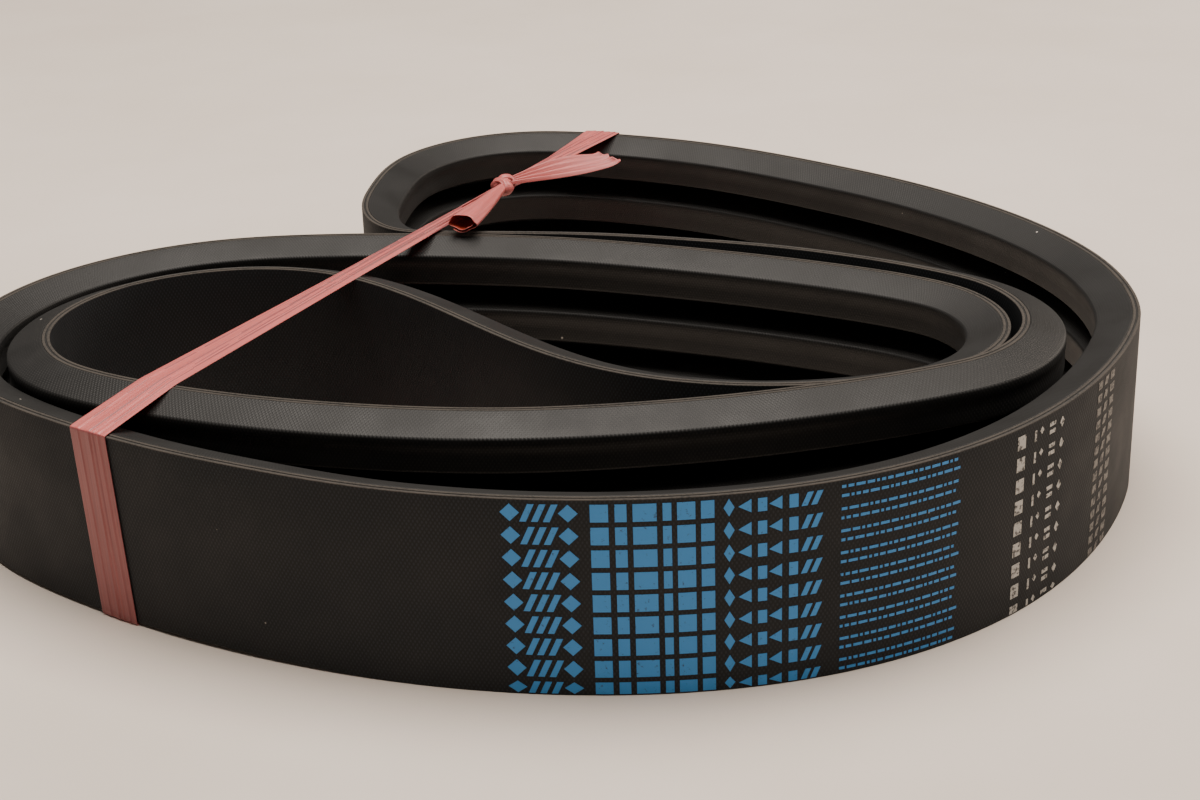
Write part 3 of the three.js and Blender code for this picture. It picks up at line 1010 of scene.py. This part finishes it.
    @staticmethod
    def knot_turn(radius: float, thick: float, lean: float, roll: float, rise: float, shift: float) -> Grid:
        """One gathered turn of film.

        Args:
            radius: of the turn.
            thick: half the thickness of the gathered film.
            lean: degrees about the upright.
            roll: how it rolls over, which also sets its creases.
            rise: height over the knot's centre.
            shift: place along the ribbon.

        Returns:
            A closed, creased ring in millimetres.
        """
        ring = bmesh.new()
        bmesh.ops.create_circle(ring, segments=20, radius=thick)
        bmesh.ops.rotate(ring, verts=ring.verts, matrix=Matrix.Rotation(math.pi / 2, 3, "X"))
        bmesh.ops.translate(ring, verts=ring.verts, vec=(radius, 0, 0))
        bmesh.ops.spin(
            ring, geom=ring.edges[:] + ring.verts[:], cent=(0, 0, 0), axis=(0, 0, 1),
            angle=2 * math.pi, steps=40, use_merge=True,
        )
        for vert in ring.verts:
            along = math.atan2(vert.co.y, vert.co.x)
            out = math.hypot(vert.co.x, vert.co.y) - radius
            tube = math.atan2(vert.co.z, out)
            crease = 1 + 0.13 * math.sin(tube * 7 + along * 2 + roll * 5) + 0.06 * math.sin(tube * 13 - along)
            reach = math.hypot(out, vert.co.z) * crease * (1 + 0.18 * math.sin(along * 2 + roll * 3))
            out = radius + reach * math.cos(tube)
            vert.co = Vector((out * math.cos(along), out * math.sin(along), reach * math.sin(tube) * 1.25))
        turn = Matrix.Rotation(math.radians(lean), 3, "Z") @ Matrix.Rotation(math.pi / 2 + roll * 0.4, 3, "X")
        bmesh.ops.rotate(ring, verts=ring.verts, matrix=turn)
        bmesh.ops.translate(ring, verts=ring.verts, vec=(shift, 0, rise))
        bmesh.ops.recalc_face_normals(ring, faces=ring.faces)
        return ring

    def knot(self) -> bpy.types.Object:
        """The knot: three gathered turns of film pulled tight across each other."""
        mesh = bmesh.new()
        layer = mesh.loops.layers.uv.new("UVMap")
        for turn in self.turns:
            join(mesh, self.knot_turn(*turn))
        for face in mesh.faces:
            for loop in face.loops:
                loop[layer].uv = (loop.vert.co.z * 1.5, loop.vert.co.x)
        heading = math.atan2(self.ahead[1], self.ahead[0])
        bmesh.ops.scale(mesh, verts=mesh.verts, vec=(MM * 1.02, MM * 1.02, MM * 0.86))
        bmesh.ops.rotate(mesh, verts=mesh.verts, matrix=Matrix.Rotation(heading, 3, "Z"))
        bmesh.ops.translate(mesh, verts=mesh.verts, vec=self.knot_centre)
        return new_object("film_knot", mesh, [FILM])

    def build(self, path: CoilPath) -> None:
        """Makes the strand and the knot."""
        finish_piece(self.strand(path), "coil", "film_ribbon", [STRAND_NODE])
        finish_piece(self.knot(), "coil", "film_ribbon", [KNOT_NODE])


@dataclass
class FilmTail:
    """One free end of the ribbon, from inside the knot to its cut end."""

    node: str
    body: str
    film: float = 0.22
    unfolded: float = 22.0
    rows: int = 70
    columns: int = 72

    def offset(self, t: float, s: float) -> tuple[float, float, float]:
        """The tail's own shape about the straight line from the knot to its end.

        Args:
            t: share of the way from the knot to the end.
            s: share of the way across the film, from 0 to 1.

        Returns:
            Offsets along, aside and up, in millimetres.
        """
        raise NotImplementedError

    def build(self) -> bpy.types.Modifier:
        """Makes the tail, with its root in the knot."""
        low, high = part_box(KNOT_NODE)
        root = (low + high) / 2
        hinge = next(joint for joint in frame["joints"] if joint["child"] == self.body)
        axis, pivot = Vector(hinge["axis"]), Vector(hinge["pos_m"])
        way = Vector((-axis.y, axis.x, 0.0)).normalized()
        side = Vector((-way.y, way.x, 0.0))
        corners = [v.co for v in frame["nodes"][self.node].data.vertices]
        length = max((co - root).dot(way) for co in corners)
        last = [co.z for co in corners if (co - root).dot(way) > length - 2 * MM]
        fall = Vector((0, 0, (min(last) + max(last)) / 2 - root.z))
        points = np.zeros((self.rows + 1, self.columns + 1, 3))
        flat = np.zeros((self.rows + 1, self.columns + 1, 2))
        for j, t in enumerate(np.linspace(0, 1, self.rows + 1)):
            for i, s in enumerate(np.linspace(0, 1, self.columns + 1)):
                along, aside, up = self.offset(float(t), float(s))
                line = root + way * length * t + fall * t
                points[j, i] = line + (way * along + side * aside + Vector((0, 0, up))) * MM
                flat[j, i] = (s * self.unfolded, t * length / MM)
        piece = new_object(f"film_{self.body}", shaped_grid(points, flat), [FILM, FILM_INSIDE])
        wall = add_wall(piece, self.film)
        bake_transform(piece)
        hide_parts(self.node)
        LOG.info("%s: %d faces between coil and %s", piece.name, len(piece.data.polygons), self.body)
        return wall


@dataclass
class RolledTail(FilmTail):
    """A flattened cone of film that opens at its end."""

    root_radius: float = 1.4
    flare: float = 4.4

    def offset(self, t: float, s: float) -> tuple[float, float, float]:
        """The film winds round a widening line; the arguments and result are as for any tail."""
        angle = math.radians(-150 + 470 * s + 25 * t)
        wrinkle = 1 + 0.05 * math.sin(angle * 5 + 3 * t) * (0.4 + t)
        radius = (self.root_radius + self.flare * t**0.85) * (1 - 0.34 * s) * wrinkle
        ragged = (0.6 * math.sin(9 * s) + 0.4 * math.sin(23 * s)) * max(0.0, t - 0.9) * 10
        lie = 0.6 * math.sin(math.pi * t) + t**3
        aside = 1.1 * math.sin(2.4 * t) + radius * math.cos(angle)
        return ragged, aside, lie + radius * (0.95 - 0.42 * t) * math.sin(angle)

    def build(self) -> bpy.types.Modifier:
        """Makes the tail, darker inside, where its own colour deepens the light."""
        wall = super().build()
        wall.material_offset = 1
        return wall


@dataclass
class FanTail(FilmTail):
    """A leaf of folds that swells and then narrows, with its end turned up."""

    root_half: float = 1.2
    swell: float = 4.6
    tilt: float = 38.0

    def offset(self, t: float, s: float) -> tuple[float, float, float]:
        """The film folds like a fan; the arguments and result are as for any tail."""
        across = 2 * s - 1
        half = self.root_half + self.swell * math.sin(math.pi * min(1.0, t * 1.1) * 0.66) ** 1.3
        turned = max(0.0, t - 0.84) / 0.16
        fold = (1.1 - 0.4 * t) * abs(((across * 1.9 + 0.35 + 0.3 * t) % 1.0) - 0.5) * 2
        lean = math.radians(self.tilt * math.sin(math.pi * min(1.0, 0.25 + t * 0.6)))
        rise = 0.6 + fold + across * half * math.sin(lean) * 0.75 + 1.6 * math.sin(math.pi * t * 0.8)
        along = -2.6 * across * t - 2.4 * turned**2 + 0.5 * math.sin(7 * across) * turned
        return along, across * half * math.cos(lean) - 1.4 * t, rise + 1.2 * turned**2


# ---- Printed marks -------------------------------------------------------------------------------


class Mark(Enum):
    """The plain shapes that the printed rows are made of."""

    BLOCK = "block"
    SLANT = "slant"
    LOZENGE = "lozenge"
    WEDGE = "wedge"


MAIN_ROW = (  # shape, place along and width of each mark, in millimetres
    (Mark.LOZENGE, 2.6, 5.0),
    (Mark.SLANT, 7.0, 1.7),
    (Mark.SLANT, 10.0, 1.7),
    (Mark.SLANT, 13.0, 1.7),
    (Mark.LOZENGE, 17.4, 5.0),
    (Mark.BLOCK, 25.2, 4.6),
    (Mark.BLOCK, 30.6, 3.0),
    (Mark.BLOCK, 36.6, 6.0),
    (Mark.BLOCK, 42.2, 2.2),
    (Mark.BLOCK, 47.0, 4.6),
    (Mark.BLOCK, 52.4, 3.4),
    (Mark.LOZENGE, 57.8, 2.8),
    (Mark.WEDGE, 62.4, 3.4),
    (Mark.BLOCK, 66.4, 2.4),
    (Mark.WEDGE, 70.4, 3.4),
    (Mark.BLOCK, 74.6, 2.4),
    (Mark.SLANT, 78.2, 1.6),
    (Mark.SLANT, 80.8, 1.6),
)
WHITE_ROW = (  # shape, place along, lift, width and height
    (Mark.BLOCK, 111.0, 0.0, 3.4, 4.0),
    (Mark.BLOCK, 117.2, 0.0, 0.9, 3.2),
    (Mark.LOZENGE, 120.1, 0.8, 1.9, 2.2),
    (Mark.BLOCK, 125.4, 1.0, 3.0, 1.2),
    (Mark.BLOCK, 125.4, -1.2, 3.0, 1.2),
    (Mark.LOZENGE, 130.4, 0.0, 2.4, 3.2),
)
FADED_ROW = (
    (Mark.BLOCK, 155.0, 0.0, 3.2, 2.4),
    (Mark.SLANT, 160.0, 0.0, 2.6, 2.4),
    (Mark.BLOCK, 165.4, 0.0, 3.8, 2.4),
)


@dataclass
class PrintedMarks:
    """Rows of plain geometric marks transfer-printed on the front of the band."""

    proud: float = 0.05
    thick: float = 0.04
    edge: float = 0.5  # bare cloth left along the belt's edges
    least: float = 0.4  # marks cut lower than this by the edge are left out
    row_pitch: float = 6.35
    shift: float = -36.0  # from the front run's nearest point to the main block

    @staticmethod
    def shape(mark: Mark, width: float, height: float) -> Grid:
        """One flat mark about its own centre, in millimetres.

        Args:
            mark: which shape.
            width: its size along the belt.
            height: its size across the belt.

        Returns:
            The mark as a single thin face, cut along its length so that it can follow the bend.
        """
        made = bmesh.new()
        if mark is Mark.WEDGE:
            bmesh.ops.create_circle(made, cap_ends=True, segments=3, radius=1.0)
            bmesh.ops.rotate(made, verts=made.verts, matrix=Matrix.Rotation(math.pi / 2, 3, "Z"))
            bmesh.ops.scale(made, verts=made.verts, vec=(width / 1.5, height / 1.732, 1))
        elif mark is Mark.LOZENGE:
            bmesh.ops.create_circle(made, cap_ends=True, segments=4, radius=1.0)
            bmesh.ops.scale(made, verts=made.verts, vec=(width / 2, height / 2, 1))
        else:
            columns = max(1, round(width / 2.5))
            bmesh.ops.create_grid(made, x_segments=columns, y_segments=1, size=0.5)
            bmesh.ops.scale(made, verts=made.verts, vec=(width, height, 1))
            if mark is Mark.SLANT:
                for vert in made.verts:
                    vert.co.x += vert.co.y * 0.45
        return made

    def print_rows(self, path: CoilPath, name: str, finish: Finish, marks: list[tuple]) -> bpy.types.Object:
        """Lays marks on the band's back.

        Args:
            path: the coil.
            name: the piece's name.
            finish: its ink.
            marks: (shape, place along, height, width, height of the mark) in millimetres; the
                place along is measured from the front run's nearest point, towards the right.

        Returns:
            All the marks as one piece.
        """
        front = path.front_run() / MM
        whole = bmesh.new()
        for mark, along, up, width, height in marks:
            low, high = max(up - height / 2, self.edge), min(up + height / 2, path.width / MM - self.edge)
            if high - low < self.least:
                continue
            one = self.shape(mark, width, high - low)
            body = bmesh.ops.extrude_face_region(one, geom=one.faces[:])
            lifted = [v for v in body["geom"] if isinstance(v, bmesh.types.BMVert)]
            bmesh.ops.translate(one, verts=lifted, vec=(0, 0, self.thick))
            bmesh.ops.recalc_face_normals(one, faces=one.faces)
            bmesh.ops.translate(one, verts=one.verts, vec=(along, (low + high) / 2, 0))
            join(whole, one)
        spots = np.array([v.co for v in whole.verts], float)
        at = (front - spots[:, 0]) * MM
        placed = path.place(at, -(self.proud + spots[:, 2]) * MM, spots[:, 1] * MM)
        for vert, spot in zip(whole.verts, placed):
            vert.co = spot
        bmesh.ops.recalc_face_normals(whole, faces=whole.faces)
        return new_object(name, whole, [finish], smooth=False)

    @staticmethod
    def repeat(row: Iterable[tuple], top: float, pitch: float, count: int) -> list[tuple]:
        """Repeats one row of marks across the belt.

        Args:
            row: (shape, place along, lift, width, height) of each mark, in millimetres.
            top: height of the first row.
            pitch: from each row to the next.
            count: how many rows.

        Returns:
            The marks, as print_rows takes them.
        """
        return [
            (mark, along, top - pitch * k + lift, width, height)
            for k in range(count)
            for mark, along, lift, width, height in row
        ]

    def main_rows(self) -> list[tuple]:
        """The large blue block: a border of blocks, slants and lozenges, repeated row under row."""
        row = [(mark, x + self.shift, 0.0, width, 3.7 if x > 60 else 4.9) for mark, x, width in MAIN_ROW]
        return self.repeat(row, 52.3, self.row_pitch, 9)

    @staticmethod
    def fine_rows() -> list[tuple]:
        """The fine blue rows: short dashes in pairs of lines."""
        marks = []
        for k in range(18):
            up = 54.4 - 3.12 * k + (0.28 if k % 2 else -0.28)
            along = 51.5
            for n in range(16):
                width = (1.2, 2.1, 1.6, 0.8, 2.6)[(n * 2 + k) % 5]
                marks.append((Mark.BLOCK, along + width / 2, up, width, 0.8))
                along += width + 0.6
        return marks

    def build(self, path: CoilPath) -> None:
        """Prints all the rows."""
        jobs = (
            ("printed_main_marks", BLUE_INK, self.main_rows()),
            ("printed_fine_marks", BLUE_INK, self.fine_rows()),
            ("printed_white_marks", WHITE_INK, self.repeat(WHITE_ROW, 51.6, self.row_pitch, 9)),
            ("printed_faded_marks", FADED_INK, self.repeat(FADED_ROW, 53.6, 4.0, 14)),
        )
        for name, ink, marks in jobs:
            finish_piece(self.print_rows(path, name, ink, marks), "coil", "band_fabric", [])


# ---- Studio --------------------------------------------------------------------------------------


@dataclass
class Studio:
    """A plain pale floor, soft light and the camera."""

    eye: tuple = (0.0151, -0.6421, 0.2754)
    pitch: float = 22.5
    roll: float = -1.84
    lens: float = 61.92

    def floor(self) -> None:
        """A wide sheet of matte paper."""
        mesh = bmesh.new()
        bmesh.ops.create_grid(mesh, x_segments=4, y_segments=4, size=9.0)
        piece = new_object("paper_floor", mesh, [PAPER], smooth=False)

    def lamp(self, name: str, place: tuple, aim: tuple, size: tuple, power: float, colour: str) -> None:
        """Adds one soft box.

        Args:
            name: the lamp's name.
            place: where it stands, in metres.
            aim: the point that it faces.
            size: its width and height.
            power: its power in watts.
            colour: its colour as sRGB hex.
        """
        light = bpy.data.lights.new(name, "AREA")
        light.shape = "RECTANGLE"
        light.size, light.size_y = size
        light.energy = power
        light.color = linear(colour)[:3]
        lamp = bpy.data.objects.new(name, light)
        lamp.location = place
        lamp.rotation_euler = (Vector(aim) - Vector(place)).to_track_quat("-Z", "Y").to_euler()
        bpy.context.scene.collection.objects.link(lamp)

    def lights(self) -> None:
        """A large box overhead, a smaller one low on the right behind the coil, and the room's own light."""
        self.lamp("high_box", (0.1, 0.15, 1.8), (0, 0, 0.03), (1.9, 1.5), 80, "#fff6ec")
        self.lamp("right_box", (1.6, 1.0, 0.8), (0.5, 0.3, 0), (1.0, 0.8), 14, "#fff0e0")
        world = bpy.data.worlds.new("room")
        world.use_nodes = True
        backdrop = world.node_tree.nodes["Background"]
        backdrop.inputs["Color"].default_value = linear("#efe6dd")
        backdrop.inputs["Strength"].default_value = 0.15
        bpy.context.scene.world = world

    def camera(self) -> None:
        """A short telephoto from the front, a little above the coil."""
        data = bpy.data.cameras.new("camera")
        data.lens = self.lens
        data.sensor_width = 36.0
        camera = bpy.data.objects.new("camera", data)
        pitch = Matrix.Rotation(math.radians(90 - self.pitch), 4, "X")
        roll = Matrix.Rotation(math.radians(self.roll), 4, "Z")
        camera.matrix_world = Matrix.Translation(Vector(self.eye)) @ (pitch @ roll)
        bpy.context.scene.collection.objects.link(camera)
        bpy.context.scene.camera = camera

    def build(self) -> None:
        """Sets up the camera, floor and lights."""
        self.camera()
        self.floor()
        self.lights()


def main() -> None:
    """Builds the studio and then the belt, the ribbon and the print, in that order."""
    logging.basicConfig(level=logging.INFO, format="%(name)s: %(message)s")
    Studio().build()
    path = CoilPath(frame["nodes"][BACK_NODE])
    LOG.info("path %.1f mm long, band %.1f mm wide", path.length / MM, path.width / MM)
    TieBand(path.width / MM).build(path)
    for number in (1, 2, 3):
        Rib(number).build(path)
    TieRibbon().build(path)
    RolledTail("ribbon_tail_near", "near_tail").build()
    FanTail("ribbon_tail_far", "far_tail").build()
    PrintedMarks().build(path)


if __name__ == "__main__":
    main()
